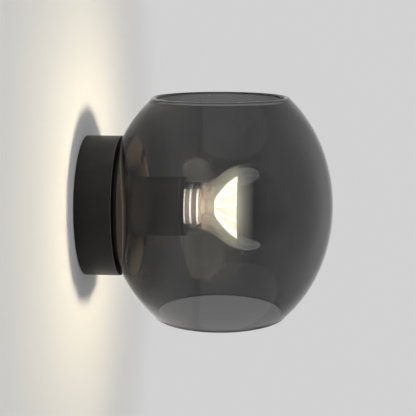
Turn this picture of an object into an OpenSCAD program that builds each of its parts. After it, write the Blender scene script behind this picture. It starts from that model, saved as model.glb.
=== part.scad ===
// Globe wall sconce with an open smoked glass shade and a crown-mirrored lamp.
// Millimetres, +Z up. The wall is the plane y = 0 and the lamp stands out along -Y on the axis x = 0, z = 0.
// Most pieces are turned on that axis and drawn in a lamp frame, whose z is the distance from the wall.

/* [Canopy] */
// Radius of the canopy and of the carrier behind the glass
canopy_r = 50; // [45:1:55]
// Distance that the canopy stands off the wall
canopy_depth = 25; // [24:1:28]
// Sheet thickness of the canopy
canopy_wall = 1.5; // [1:0.1:2]
// Width of the shadow gap between the canopy and the glass carrier
gap_w = 3.7; // [3:0.1:5]

/* [Glass] */
// Radius of the glass globe seen from above
globe_a = 80; // [78:0.5:82]
// Half height of the full ellipse that the globe is cut from
globe_b = 97.2; // [94:0.2:100]
// Distance from the wall to the upright axis of the globe
globe_d = 95; // [93:0.5:97]
// Half height of the glass between its two rims
globe_h = 78.2; // [74:0.2:80]
// Thickness of the glass
glass_wall = 3.2; // [2.5:0.1:4]
// Radial clearance of the side mouth on the carrier
mouth_gap = 0.6; // [0.4:0.1:1]

/* [Holder] */
// Outer radius of the lamp holder sleeve
sleeve_r = 21; // [20.5:0.5:23]
// Distance from the wall to the mouth of the sleeve
sleeve_end = 67.6; // [66:0.2:70]

/* [Lamp] */
// Radius of the round end of the lamp
lamp_r = 30.8; // [29:0.2:32]
// Distance from the wall to the centre of the round end
lamp_d = 115.7; // [114:0.1:118]
// Radius of the straight neck of the lamp
neck_r = 17.4; // [16:0.1:19]
// Distance from the wall to the rim of the mirror
mirror_d = 108.4; // [106:0.2:112]
// Radius of the screw cap
cap_r = 13.1; // [13:0.05:13.2]

/* [Hidden] */

$fn = 96;
eps = 0.01;
black = [0.10, 0.10, 0.10];
steel = [0.72, 0.73, 0.75];
brass = [0.80, 0.66, 0.34];
ceramic = [0.88, 0.86, 0.80];

bracket_t = 2;
bracket_w = 22;
bracket_half = 42;
slot_x = 32;
slot_l = 12;
slot_r = 2.4;
tab_z = 45.6;
tab_depth = 16;
screw_d = 11;
earth_y = 24;
nipple_r = 4.95;
nipple_bore = 4;
carrier_d0 = canopy_depth + gap_w;
carrier_t = 5.6;
carrier_d1 = carrier_d0 + carrier_t;
carrier_plate = 2;
core_r = 42;
ring_d = 32.9;
ring_sec = 0.8;
ring_c = canopy_r - 0.5;
mouth_r = canopy_r + mouth_gap;
clip_r = 50.2;
flange_t = 1.2;
sleeve_wall = 1.5;
body_r = sleeve_r - sleeve_wall - 0.1;
floor_d0 = 37.9;
floor_d1 = 39.9;
recess_d = 38.9;
recess_r = 9;
foot_d = 38.5;
foot_rivet_x = 11.6;
body_end = sleeve_end - 1;
shell_in = 13.6;
shell_out = 14.1;
shell_d0 = 44;
shell_d1 = sleeve_end - 3.5;
button_d = 41.5;
cap_d0 = 46;
cap_d1 = 67.2;
cap_in = cap_r - 0.5;
tongue_t = 0.5;
tongue_root = 10.2;
tongue_rise = 5.8;
mirror_t = 0.25;
lamp_wall = 0.9;
neck_end = 80;
inner_a = globe_a - glass_wall;
inner_b = globe_b - 2.3;
bead_h = 1.2;
// An odd count keeps every facet edge of the globe off the level of the lamp axis
globe_steps = 25;
holder_screw_r = 15.6;
stem_r = 12.8;
stem_shoulder = 81.4;
stem_end = 91;
hub_r = 3.85;
hub_h = 3;
filament_n = 12;
bowl_t = 0.6;
filament_r = 0.9;
// Each filament is an arc of radius bow_r with its centre bow_x across the axis and bow_d from the wall
bow_r = 36.5;
bow_x = -10.8;
bow_d = 125.5;
bow_start = 24.4;
bow_end = 78;
filament_end = 76.5;
bowl_start = 25.6;

// Radius of an upright ellipse at height z
function ellipse_r(a, b, z) = a * sqrt(1 - pow(z / b, 2));

// Places children in the lamp frame, at distance d from the wall
module lamp(d = 0) {
    translate([0, -d, 0]) rotate([90, 0, 0]) children();
}

// A plain disc or tube on the lamp axis between two distances from the wall
module turned(r_out, r_in, d0, d1) {
    lamp(d0) difference() {
        cylinder(r = r_out, h = d1 - d0);
        if (r_in > 0) translate([0, 0, -1]) cylinder(r = r_in, h = d1 - d0 + 2);
    }
}

// A round rod along x or z of the lamp frame, used for screws and rivets
module headed(head_r, head_t, shank_r, shank_l) {
    cylinder(r = head_r, h = head_t);
    translate([0, 0, -shank_l]) cylinder(r = shank_r, h = shank_l + eps);
}

// The same with a straight driver slot across the head
module slotted(head_r, head_t, shank_r, shank_l) {
    difference() {
        headed(head_r, head_t, shank_r, shank_l);
        translate([-head_r - 1, -0.4, head_t * 0.5]) cube([2 * head_r + 2, 0.8, head_t]);
    }
}

// Wall bracket

module slot_cut(x) {
    translate([x, 0, -1]) linear_extrude(bracket_t + 2) {
        translate([-slot_l / 2 + slot_r, -slot_r]) square([slot_l - 2 * slot_r, 2 * slot_r]);
        translate([-slot_l / 2 + slot_r, 0]) circle(slot_r);
        translate([slot_l / 2 - slot_r, 0]) circle(slot_r);
    }
}

module bracket_strap() {
    difference() {
        linear_extrude(bracket_t) {
            translate([-bracket_half, -bracket_w / 2]) square([2 * bracket_half, bracket_w]);
            translate([-bracket_w / 2, -tab_z]) square([bracket_w, 2 * tab_z]);
        }
        for (x = [-slot_x, slot_x]) slot_cut(x);
        translate([0, 0, -1]) cylinder(r = 7, h = bracket_t + 2);
        translate([0, earth_y, -1]) cylinder(r = 1.65, h = bracket_t + 2);
        translate([rivet_x, rivet_y, -1]) cylinder(r = rivet_r, h = bracket_t + 2);
    }
}

module bracket_tab(side) {
    z0 = side > 0 ? tab_z - bracket_t : -tab_z;
    translate([-7, z0, bracket_t - eps]) cube([14, bracket_t, tab_depth - bracket_t]);
}

module wall_bracket() {
    color(steel) lamp() difference() {
        union() {
            bracket_strap();
            bracket_tab(1);
            bracket_tab(-1);
        }
        translate([0, tab_z + 1, screw_d]) rotate([90, 0, 0]) cylinder(r = 2.4, h = bracket_t + 2);
        translate([0, -tab_z + bracket_t + 1, screw_d]) rotate([90, 0, 0])
            cylinder(r = 1.95, h = bracket_t + 2);
    }
}

module earth_screw() {
    color(brass) lamp(bracket_t + 1.0) translate([0, earth_y, 0]) slotted(3.6, 1.8, 1.65, bracket_t + 1.0);
}

module earth_lug() {
    color(steel) lamp(bracket_t) difference() {
        union() {
            translate([0, earth_y, 0]) cylinder(r = 3.9, h = 1.0);
            translate([0, earth_y - 1.6, 0]) cube([9.5, 3.2, 1.0]);
            translate([7.5, earth_y, 1.8]) rotate([0, 90, 0]) cylinder(r = 1.7, h = 4);
        }
        translate([0, earth_y, -1]) cylinder(r = 1.65, h = 4);
        translate([6, earth_y, 1.8]) rotate([0, 90, 0]) cylinder(r = 1.1, h = 7);
    }
}

// Terminal block on the lower arm of the bracket

block_y = -33.2;
block_pitch = 7;
rivet_x = -block_pitch / 2;
rivet_y = block_y + 9.2;
rivet_r = 1;

module terminal_block() {
    color("white") lamp(bracket_t) difference() {
        union() {
            translate([-10.4, block_y, 0]) cube([20.8, 17, 4]);
            for (i = [-1:1]) translate([i * block_pitch - 2.9, block_y, 3.9]) cube([5.8, 17, 5.1]);
        }
        for (i = [-1:1]) {
            translate([i * block_pitch, block_y - 1, 5.2]) rotate([-90, 0, 0]) cylinder(r = 1.6, h = 19);
            for (y = [3.6, 13.4]) translate([i * block_pitch, block_y + y, 5]) cylinder(r = 1.5, h = 6);
        }
        translate([rivet_x, rivet_y, -1]) cylinder(r = rivet_r, h = 8);
        translate([rivet_x, rivet_y, 4]) cylinder(r = 2, h = 8);
    }
}

module block_screws() {
    color(brass) lamp(bracket_t + 6.4) for (i = [-1:1], y = [3.6, 13.4]) {
        translate([i * block_pitch, block_y + y, 0]) slotted(1.5, 1.4, 1.5, 0.45);
    }
}

module block_rivet() {
    color(steel) lamp(bracket_t + 4) translate([rivet_x, rivet_y, 0])
        headed(1.7, 0.8, rivet_r, bracket_t + 3.4);
}

// Canopy, a spun cup with an open back

module canopy() {
    r = canopy_r;
    t = canopy_wall;
    color(black) lamp() {
        difference() {
            rotate_extrude() polygon([
                [nipple_r + 0.3, canopy_depth - t], [r - t, canopy_depth - t], [r - t, 0], [r, 0],
                [r, canopy_depth - 0.35], [r - 0.1, canopy_depth - 0.1], [r - 0.35, canopy_depth],
                [nipple_r + 0.3, canopy_depth]
            ]);
            translate([0, -r + t + 1, screw_d]) rotate([90, 0, 0]) cylinder(r = 2.1, h = 2 * t + 1);
        }
        translate([0, r - t + 0.2, screw_d]) rotate([90, 0, 0]) cylinder(r = 2.1, h = 4.6);
    }
}

module canopy_screw() {
    color(black) lamp() translate([0, -canopy_r + 0.4, screw_d]) rotate([-90, 0, 0]) difference() {
        cylinder(r = 1.9, h = 8.6);
        translate([0, 0, -1]) cylinder(r = 1, h = 2.6, $fn = 6);
    }
}

// Spacer core and glass carrier

module spacer_core() {
    color(black) turned(core_r, nipple_r + 0.3, canopy_depth, carrier_d1 - carrier_plate);
}

module carrier() {
    r = canopy_r;
    color([0.16, 0.13, 0.11]) lamp() difference() {
        rotate_extrude() difference() {
            polygon([
                [nipple_r + 0.3, carrier_d1 - carrier_plate], [r - 2.5, carrier_d1 - carrier_plate],
                [r - 2.5, carrier_d0], [r, carrier_d0], [r, carrier_d1 - 0.5], [r - 0.5, carrier_d1],
                [nipple_r + 0.3, carrier_d1]
            ]);
            translate([ring_c, ring_d]) circle(ring_sec + 0.05);
        }
        for (x = [-holder_screw_r, holder_screw_r]) translate([x, 0, carrier_d1 - carrier_plate]) {
            translate([0, 0, -1]) cylinder(r = 1.6, h = carrier_plate + 2);
            cylinder(r1 = 2.9, r2 = 1.6, h = 1.3);
        }
        for (a = [45:90:315]) rotate(a) translate([40, 0, carrier_d0]) cylinder(r = 1.1, h = carrier_t + 1);
    }
}

module grip_ring() {
    color("dimgray") lamp() rotate_extrude() translate([ring_c, ring_d]) circle(ring_sec);
}

// Four leaf clips that spring over the inner edge of the side mouth

clip_w = 8;
clip_t = 0.6;

module clip_profile() {
    d = carrier_d1;
    polygon([
        [36.5, d], [46.2, d], [47.2, d + 0.9], [48.6, d + 1.3], [clip_r - 0.25, d + 0.7], [clip_r, d + 0.9],
        [clip_r, d + 1.3], [49, d + 1.95], [47, d + 1.65], [45.8, d + clip_t], [36.5, d + clip_t]
    ]);
}

module spring_clips() {
    color(steel) lamp() for (a = [45:90:315]) rotate(a) difference() {
        translate([0, clip_w / 2, 0]) rotate([90, 0, 0]) linear_extrude(clip_w) clip_profile();
        translate([40, 0, carrier_d1 - 1]) cylinder(r = 1.1, h = 3);
    }
}

module clip_rivets() {
    color(steel) lamp(carrier_d1 + clip_t) for (a = [45:90:315]) rotate(a) translate([40, 0, 0]) {
        headed(2, 0.7, 1.05, clip_t + carrier_plate - 0.1);
    }
}

// Threaded nipple that clamps canopy, core and carrier

module nipple() {
    color(steel) lamp() difference() {
        union() {
            translate([0, 0, 16]) cylinder(r = nipple_r, h = carrier_d1 - 16 + eps);
            translate([0, 0, carrier_d1]) cylinder(r = 8, h = 1.4);
        }
        translate([0, 0, 15]) cylinder(r = nipple_bore, h = 22);
    }
}

module nipple_nut() {
    color(brass) lamp(18.4) difference() {
        cylinder(r = 8.1, h = 3.6, $fn = 6);
        translate([0, 0, -1]) cylinder(r = nipple_r + 0.05, h = 6);
    }
}

module tooth_washer() {
    color(steel) lamp(22) difference() {
        union() {
            cylinder(r = 7.6, h = 1.5);
            for (a = [0:30:330]) rotate(a) translate([7, -0.9, 0.2]) cube([2, 1.8, 1]);
        }
        translate([0, 0, -1]) cylinder(r = nipple_r + 0.25, h = 4);
    }
}

// Lamp holder

module holder_screws() {
    color(steel) lamp(carrier_d1 - carrier_plate) for (x = [-holder_screw_r, holder_screw_r]) {
        translate([x, 0, 0]) {
            cylinder(r = 1.45, h = 7);
            cylinder(r1 = 2.9, r2 = 1.45, h = 1.45);
        }
    }
}

module holder_sleeve() {
    r = sleeve_r;
    w = sleeve_wall;
    color(black) lamp() difference() {
        rotate_extrude() polygon([
            [12.5, carrier_d1], [r - 0.3, carrier_d1], [r, carrier_d1 + 0.3], [r, sleeve_end - 0.7],
            [r - 0.7, sleeve_end], [r - w + 0.3, sleeve_end], [r - w, sleeve_end - 0.3],
            [r - w, carrier_d1 + flange_t], [12.5, carrier_d1 + flange_t]
        ]);
        for (x = [-holder_screw_r, holder_screw_r]) {
            translate([x, 0, carrier_d1 - 1]) cylinder(r = 1.6, h = flange_t + 2);
        }
    }
}

module holder_body() {
    color(ceramic) lamp() difference() {
        union() {
            rotate_extrude() polygon([
                [0, recess_d], [recess_r, recess_d], [recess_r, floor_d1], [shell_in - 0.4, floor_d1],
                [shell_in - 0.4, shell_d0], [shell_out, shell_d0], [shell_out, body_end - 1.2],
                [shell_out + 1.2, body_end], [body_r - 0.5, body_end], [body_r, body_end - 0.5],
                [body_r, floor_d0], [0, floor_d0]
            ]);
            for (x = [-holder_screw_r, holder_screw_r]) {
                translate([x, 0, carrier_d1 + flange_t])
                    cylinder(r = 3.4, h = floor_d0 - carrier_d1 - flange_t + 1);
            }
        }
        for (x = [-holder_screw_r, holder_screw_r]) {
            translate([x, 0, carrier_d1]) cylinder(r = 1.5, h = 6.4);
        }
        translate([7.9, -3.6, foot_d]) cube([4.6, 7.2, 4]);
        translate([foot_rivet_x, 0, floor_d0 - 1]) cylinder(r = 0.55, h = 3);
        translate([-1.6, 12.2, floor_d0 - 1]) cube([3.2, 2.4, 8]);
    }
}

module screw_shell() {
    color(brass) lamp() difference() {
        cylinder_at(shell_out, shell_d0, shell_d1);
        cylinder_at(shell_in, shell_d0 - 1, shell_d1 + 1);
    }
}

module cylinder_at(r, d0, d1) {
    translate([0, 0, d0]) cylinder(r = r, h = d1 - d0);
}

// Strip that joins the shell to its terminal through the floor
module side_contact() {
    color(brass) lamp() {
        translate([-1.4, 13.2, 36.5]) cube([2.8, 0.8, shell_d0 - 36.5]);
        translate([-1.4, 10.6, 36.5]) cube([2.8, 2.7, 0.7]);
    }
}

// The sprung centre contact: a riveted foot and a tongue that bends at its root
module contact_foot() {
    color(brass) lamp() difference() {
        union() {
            translate([tongue_root + 0.1, -3, foot_d]) cube([2.2, 6, 0.8]);
            translate([tongue_root + 0.1, -3, foot_d]) cube([0.5, 6, 1.5]);
        }
        translate([foot_rivet_x, 0, 37]) cylinder(r = 0.55, h = 4);
    }
}

module contact_tongue() {
    color(brass) lamp() translate([tongue_root, 0, 39.5]) rotate([0, tongue_rise, 0]) {
        translate([-12.6, -2.5, 0]) cube([12.6, 5, tongue_t]);
    }
}

module contact_rivet() {
    color(steel) lamp(foot_d + 0.8) translate([foot_rivet_x, 0, 0])
        headed(0.7, 0.35, 0.5, foot_d + 0.8 - terminal_d0 - 0.8);
}

terminal_d0 = 35.8;
terminal_h = floor_d0 - terminal_d0;

module terminals() {
    color(brass) lamp() {
        translate([6.9, -4.4, terminal_d0]) cube([5, 3.2, terminal_h]);
        translate([8.6, -4.4, terminal_d0]) cube([3.6, 6, 0.8]);
        translate([-4.6, 10.4, terminal_d0]) cube([3, 5, terminal_h]);
        translate([-2, 10.4, terminal_d0]) cube([4, 3.4, 0.7]);
    }
}

module terminal_screws() {
    color(steel) lamp() {
        translate([9.4, -4.4, 36.85]) rotate([90, 0, 0]) slotted(0.9, 0.7, 0.5, 0);
        translate([-3.1, 15.4, 36.85]) rotate([-90, 0, 0]) slotted(0.9, 0.7, 0.5, 0);
    }
}

// Wires: each is a tube swept along its own route, in the frame of the whole object

wire_r = 0.75;
live_route = [
    [7, -7.2, -22], [7, -7.2, -15.6], [7, -7.4, -13.5], [6.5, -8.4, -11.2], [5, -10.5, -8], [3.2, -13, -4.2],
    [2.3, -15.5, -1.4], [2, -18, 0], [2, -26, 0], [2, -34, 0], [2.2, -35.4, -0.3], [3.2, -36.5, -1.2],
    [4.5, -36.8, -2.2], [5.7, -36.8, -2.8], [6.9, -36.8, -2.8]
];
neutral_route = [
    [-7, -7.2, -22], [-7, -7.2, -15.6], [-7, -7.4, -13.5], [-6.5, -8.4, -11.2], [-5, -10.5, -8],
    [-3.2, -13, -4.2],
    [-2.3, -15.5, -1.4], [-2, -18, 0], [-2, -26, 0.4], [-2, -34, 0.6], [-2, -35.4, 1.2], [-2.1, -36.5, 2.4],
    [-2.5, -36.85, 4.4], [-3, -36.85, 7], [-3.1, -36.85, 8.8], [-3.1, -36.85, 10.4]
];
earth_route = [
    [0, -7.2, -22], [0, -7.2, -15.6], [0.2, -6.6, -13.8], [1.7, -5, -11.5], [5, -4.2, -7], [9.5, -4, 0],
    [12.6, -4, 8], [14.8, -3.8, 16], [15.6, -3.7, 20.5], [14.8, -3.75, 23], [12.8, -3.8, 24], [9, -3.8, 24]
];
wire_sides = 8;

function unit(v) = v / norm(v);
function tangent(p, i) = unit(p[min(i + 1, len(p) - 1)] - p[max(i - 1, 0)]);
function side_of(t) = unit(cross(t, abs(t[2]) > 0.9 ? [1, 0, 0] : [0, 0, 1]));
function ring_points(c, t, u, r) = [
    for (k = [0:wire_sides - 1]) let (a = 360 * k / wire_sides, v = cross(t, u))
        c + r * (cos(a) * u + sin(a) * v)
];
// Side vector carried from ring to ring, so that the tube never twists
function carried(p, i) = i == 0 ? side_of(tangent(p, 0)) :
    let (t = tangent(p, i), u = carried(p, i - 1)) unit(u - (u * t) * t);

module tube(p, r) {
    n = len(p);
    rings = [for (i = [0:n - 1]) ring_points(p[i], tangent(p, i), carried(p, i), r)];
    points = [for (q = rings) each q];
    sides = [
        for (i = [0:n - 2], k = [0:wire_sides - 1])
            let (a = i * wire_sides + k, b = i * wire_sides + (k + 1) % wire_sides) each [
                [a, a + wire_sides, b], [b, a + wire_sides, b + wire_sides]
            ]
    ];
    first = [[for (k = [0:wire_sides - 1]) k]];
    last = [[for (k = [wire_sides - 1:-1:0]) (n - 1) * wire_sides + k]];
    polyhedron(points, concat(first, sides, last));
}

module live_wire() {
    color("saddlebrown") tube(live_route, wire_r);
}

module neutral_wire() {
    color("royalblue") tube(neutral_route, wire_r);
}

module earth_wire() {
    color("yellowgreen") tube(earth_route, wire_r);
}

// Glass globe: an ellipse turned about its upright axis, cut level at both rims, with a side mouth
// bored along the lamp axis, so that the mouth has a saddle-shaped edge that slips over the carrier

function rim_bead(sign) = [
    for (i = [0:6]) let (
        o = ellipse_r(globe_a, globe_b, globe_h - bead_h),
        n = ellipse_r(inner_a, inner_b, globe_h - bead_h),
        a = sign > 0 ? 180 * i / 6 : 180 - 180 * i / 6
    ) [(o + n) / 2 + (o - n) / 2 * cos(a), sign * (globe_h - bead_h + bead_h * sin(a))]
];

module globe_profile() {
    h = globe_h - bead_h;
    outer = [for (i = [1:globe_steps - 1]) let (z = -h + 2 * h * i / globe_steps)
        [ellipse_r(globe_a, globe_b, z), z]];
    inner = [for (i = [1:globe_steps - 1]) let (z = h - 2 * h * i / globe_steps)
        [ellipse_r(inner_a, inner_b, z), z]];
    polygon(concat(outer, rim_bead(1), inner, rim_bead(-1)));
}

module glass_shade() {
    color([0.25, 0.24, 0.23, 0.45]) difference() {
        translate([0, -globe_d, 0]) rotate_extrude() globe_profile();
        lamp() cylinder_at(mouth_r, -1, globe_d - 20);
    }
}

// Lamp: screw cap, envelope with a mirrored crown, stem and glowing rods

module lamp_cap() {
    color(brass) lamp() rotate_extrude() polygon([
        [10.2, cap_d0], [cap_r - 0.6, cap_d0 + 1.2], [cap_r, cap_d0 + 2.4], [cap_r, cap_d1 - 1.2],
        [cap_r + 0.3, cap_d1], [cap_in + 0.2, cap_d1], [cap_in, cap_d1 - 1.2],
        [cap_in, cap_d0 + 2.6], [9.6, cap_d0 + 0.6]
    ]);
}

module cap_insulator() {
    color([0.05, 0.05, 0.06]) lamp() rotate_extrude() polygon([
        [0, button_d + 0.8], [4.4, button_d + 0.8], [9.9, cap_d0 - 0.3], [10.2, cap_d0], [9.6, cap_d0 + 0.6],
        [9.6, cap_d0 + 1.6], [0, cap_d0 + 1.6]
    ]);
}

module contact_button() {
    color(steel) lamp() rotate_extrude() polygon([
        [0, button_d], [3.4, button_d], [4.3, button_d + 0.3], [4.4, button_d + 0.7], [0, button_d + 0.7]
    ]);
}

// Concave arc that is tangent to the straight neck and to the round end
flare_run = lamp_d - neck_end;
flare_r = (pow(flare_run, 2) / (lamp_r - neck_r) - lamp_r - neck_r) / 2;
meet = lamp_r / (lamp_r + flare_r);
meet_d = lamp_d - meet * flare_run;
meet_r = meet * (neck_r + flare_r);
flare_end = acos((meet_d - neck_end) / flare_r);
dome_start = 180 - asin(meet_r / lamp_r);
mirror_a = 90 + asin((lamp_d - mirror_d) / lamp_r);

// Outline of the envelope, moved inwards by t: neck, flare and dome
function envelope(t) = concat(
    [[cap_in - t, 61.5], [cap_in - t, cap_d1 - 1.2], [cap_in + 0.2 - t, cap_d1], [14.6 - t, 67.7],
     [neck_r - t, 69.8]],
    [for (i = [0:8]) let (a = 90 - (90 - flare_end) * i / 8)
        [neck_r + flare_r - (flare_r + t) * sin(a), neck_end + (flare_r + t) * cos(a)]],
    dome(t, dome_start, mirror_a, 4),
    dome(t, mirror_a, 0, 14)
);
function dome(t, a0, a1, n) = [
    for (i = [1:n]) let (a = a0 + (a1 - a0) * i / n)
        [max(0, (lamp_r - t) * sin(a)), lamp_d + (lamp_r - t) * cos(a)]
];
function reversed(p) = [for (i = [len(p) - 1:-1:0]) p[i]];

module lamp_glass() {
    color([0.9, 0.88, 0.82, 0.4]) lamp() rotate_extrude() polygon(
        concat(envelope(0), reversed(envelope(lamp_wall)))
    );
}

module mirror_coat() {
    color([0.85, 0.86, 0.88]) lamp() rotate_extrude() polygon(
        concat([[lamp_r * sin(mirror_a), mirror_d]], dome(0, mirror_a, 0, 14),
               reversed(dome(-mirror_t, mirror_a, 0, 14)),
               [[(lamp_r + mirror_t) * sin(mirror_a), lamp_d + (lamp_r + mirror_t) * cos(mirror_a)]])
    );
}

// The stem is a wide tube that fills the neck, closed by a shoulder with a narrow post on it
module glass_stem() {
    color([0.92, 0.86, 0.78, 0.5]) lamp() rotate_extrude() polygon([
        [cap_in - lamp_wall, 62], [cap_in - lamp_wall, 66.8], [12.6, 69.6], [stem_r, 71.5],
        [stem_r, stem_shoulder - 1.5], [12.2, stem_shoulder - 0.4], [11.2, stem_shoulder],
        [6.4, stem_shoulder + 0.5], [5.2, stem_shoulder + 1.8], [5, stem_shoulder + 3.5],
        [5, stem_end - 3], [4.6, stem_end - 0.6], [3.9, stem_end], [0, stem_end], [0, stem_shoulder - 1],
        [10.8, stem_shoulder - 1], [stem_r - 1, stem_shoulder - 1.8], [stem_r - 1, 71.5], [11.6, 69.9],
        [10.7, 67], [10.7, 62]
    ]);
}

module exhaust_tube() {
    color([0.92, 0.9, 0.86, 0.5]) lamp() cylinder_at(1.6, 50, stem_shoulder - 1);
}

// A cap on the stem holds the feet of the filaments, and two leads rise through the foot of the lamp
module support_wires() {
    color(steel) lamp() {
        cylinder_at(hub_r, stem_end, stem_end + hub_h);
        for (x = [-3, 3]) translate([x, 0, 0]) cylinder_at(0.4, cap_d0 + 1.6, stem_shoulder - 1);
    }
}

// The filaments bow outwards like the ribs of a bowl, and a ring behind the mirror joins their ends
module filament_ring() {
    end_r = bow_x + bow_r * sin(bow_end);
    end_d = bow_d - bow_r * cos(bow_end);
    color(steel) lamp(end_d) rotate_extrude() translate([end_r, 0]) circle(filament_r);
}

// A thin opal bowl carries the filaments and spreads their light
function bow_arc(r, n) = [
    for (i = [0:n]) let (a = bowl_start + (bow_end - bowl_start) * i / n)
        [bow_x + r * sin(a), bow_d - r * cos(a)]
];

module glow_bowl() {
    outer_r = bow_r - filament_r - 0.02;
    color([1, 0.95, 0.85, 0.8]) lamp() rotate_extrude() polygon(
        concat(bow_arc(outer_r, 14), reversed(bow_arc(outer_r - bowl_t, 14)))
    );
}

module filaments() {
    color([1, 0.8, 0.4]) lamp() for (i = [0:filament_n - 1]) {
        rotate(360 * (i + 0.5) / filament_n) translate([bow_x, 0, bow_d]) rotate([90, 0, 0])
            rotate(bow_start - 90) rotate_extrude(angle = filament_end - bow_start) translate([bow_r, 0])
                circle(filament_r);
    }
}

wall_bracket();
earth_screw();
earth_lug();
terminal_block();
block_screws();
block_rivet();
canopy();
canopy_screw();
spacer_core();
carrier();
grip_ring();
spring_clips();
clip_rivets();
nipple();
nipple_nut();
tooth_washer();
holder_screws();
holder_sleeve();
holder_body();
screw_shell();
side_contact();
contact_foot();
contact_tongue();
contact_rivet();
terminals();
terminal_screws();
live_wire();
neutral_wire();
earth_wire();
glass_shade();
lamp_cap();
cap_insulator();
contact_button();
lamp_glass();
mirror_coat();
glass_stem();
exhaust_tube();
support_wires();
filaments();
filament_ring();
glow_bowl();
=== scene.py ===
"""Looks of the globe wall sconce: smoked glass globe, black canopy and holder, crown-mirrored lamp."""

import logging
import math
from dataclasses import dataclass, field
from enum import Enum

import bpy
from mathutils import Matrix, Vector


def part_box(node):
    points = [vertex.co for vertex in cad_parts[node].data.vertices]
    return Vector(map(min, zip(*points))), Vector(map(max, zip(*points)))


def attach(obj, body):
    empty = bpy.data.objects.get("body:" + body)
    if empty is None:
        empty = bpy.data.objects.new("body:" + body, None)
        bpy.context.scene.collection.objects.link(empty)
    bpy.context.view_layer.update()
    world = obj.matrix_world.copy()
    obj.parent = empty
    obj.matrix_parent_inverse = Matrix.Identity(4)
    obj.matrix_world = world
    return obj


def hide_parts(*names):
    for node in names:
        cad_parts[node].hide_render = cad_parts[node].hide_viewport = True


logging.basicConfig(level=logging.INFO, format="%(name)s: %(message)s")
log = logging.getLogger("sconce")

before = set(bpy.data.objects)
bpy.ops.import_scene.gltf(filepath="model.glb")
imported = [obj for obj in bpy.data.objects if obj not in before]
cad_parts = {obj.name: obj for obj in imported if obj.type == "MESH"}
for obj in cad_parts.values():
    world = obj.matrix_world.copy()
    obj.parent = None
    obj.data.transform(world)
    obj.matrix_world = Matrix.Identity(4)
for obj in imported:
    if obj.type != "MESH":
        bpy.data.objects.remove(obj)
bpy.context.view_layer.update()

MM = 0.001
SEAM = 2e-6
ON_PLANE = 1e-5
SHARP_ANGLE = 32.0
ROD_STEPS = 6
ROD_BEVEL = 3
ROD_ANGLE = 50.0
# Sockets of a colour Mix node: its factor and its two colours, and its colour output
MIX_INPUTS = (0, 6, 7)
MIX_OUTPUT = 2
# How much of the patchy wear at a rim shows
WEAR_GAIN = 1.6
# Range that a noise mostly stays in
NOISE_SPAN = (0.25, 0.75)
# Pitch of the standard lamp thread, and faces round a piece that carries it
PITCH = 3.629 * MM
THREAD_STEPS = 96

Piece = bpy.types.Object
Material = bpy.types.Material
Tree = bpy.types.NodeTree
Node = bpy.types.Node
Socket = bpy.types.NodeSocket
Outputs = bpy.types.bpy_prop_collection
Profile = list[tuple[float, float]]
Colour = tuple[float, float, float]
Stops = tuple[tuple[float, Colour], ...]
Span = tuple[float, float]
Value = Socket | float | Colour


class Axis(Enum):
    """Axis that a piece is turned on."""

    LAMP = "lamp"
    UPRIGHT = "upright"


# Modelling by operators


def only(piece: Piece) -> None:
    """Select one object alone and make it active.

    Args:
        piece: the object.
    """
    bpy.ops.object.select_all(action="DESELECT")
    piece.select_set(True)
    bpy.context.view_layer.objects.active = piece


def named(name: str) -> Piece:
    """Give the object just added its name, and its mesh the same.

    Args:
        name: plain name of the piece.

    Returns:
        The active object.
    """
    piece = bpy.context.active_object
    piece.name = name
    piece.data.name = name
    return piece


def settle(piece: Piece) -> Piece:
    """Put a piece's place into its mesh, so that its object sits at the origin.

    Args:
        piece: the piece.

    Returns:
        The same piece.
    """
    only(piece)
    bpy.ops.object.transform_apply(location=True, rotation=True, scale=True)
    return piece


def smooth(piece: Piece, degrees: float = SHARP_ANGLE) -> Piece:
    """Shade smooth, with edges over an angle kept sharp.

    Args:
        piece: the piece.
        degrees: the angle.

    Returns:
        The same piece.
    """
    only(piece)
    bpy.ops.object.shade_smooth_by_angle(angle=math.radians(degrees))
    return piece


def turned(name: str, profile: Profile, axis: Axis, centre: float = 0.0, steps: int = 128,
           closed: bool = False, degrees: float = SHARP_ANGLE) -> Piece:
    """Turn a piece from a profile, by extruding a point along it and spinning the line.

    Args:
        name: name of the piece.
        profile: points of radius and place along the axis, in metres. On the lamp axis the place is the
            distance from the wall, and on an upright axis it is the height.
        axis: axis that the piece is turned on.
        centre: distance of an upright axis from the wall.
        steps: faces round the piece.
        closed: whether the last point joins the first.
        degrees: angle over which an edge stays sharp.

    Returns:
        The finished piece.
    """
    def place(point: tuple[float, float]) -> Vector:
        """Put a point of the profile in its place.

        Args:
            point: radius and place along the axis.

        Returns:
            The point in the frame.
        """
        if axis is Axis.LAMP:
            return Vector((point[0], -point[1], 0.0))
        return Vector((point[0], -centre, point[1]))

    spots = [place(p) for p in profile]
    if closed:
        spots.append(spots[0])
    only_nothing()
    bpy.ops.mesh.primitive_plane_add(size=MM, location=(0, 0, 0))
    piece = named(name)
    edit_all()
    bpy.ops.mesh.merge(type="CENTER")
    bpy.ops.transform.translate(value=spots[0])
    for before, after in zip(spots, spots[1:]):
        bpy.ops.mesh.extrude_region_move(TRANSFORM_OT_translate={"value": after - before})
    bpy.ops.mesh.select_all(action="SELECT")
    line = (0, 1, 0) if axis is Axis.LAMP else (0, 0, 1)
    bpy.ops.mesh.spin(steps=steps, angle=math.tau, center=(0, -centre, 0), axis=line)
    bpy.ops.mesh.select_all(action="SELECT")
    bpy.ops.mesh.remove_doubles(threshold=SEAM)
    bpy.ops.mesh.normals_make_consistent(inside=False)
    bpy.ops.object.mode_set(mode="OBJECT")
    return smooth(piece, degrees)


def only_nothing() -> None:
    """Leave object mode with nothing selected."""
    if bpy.context.active_object and bpy.context.active_object.mode != "OBJECT":
        bpy.ops.object.mode_set(mode="OBJECT")
    bpy.ops.object.select_all(action="DESELECT")


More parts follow.
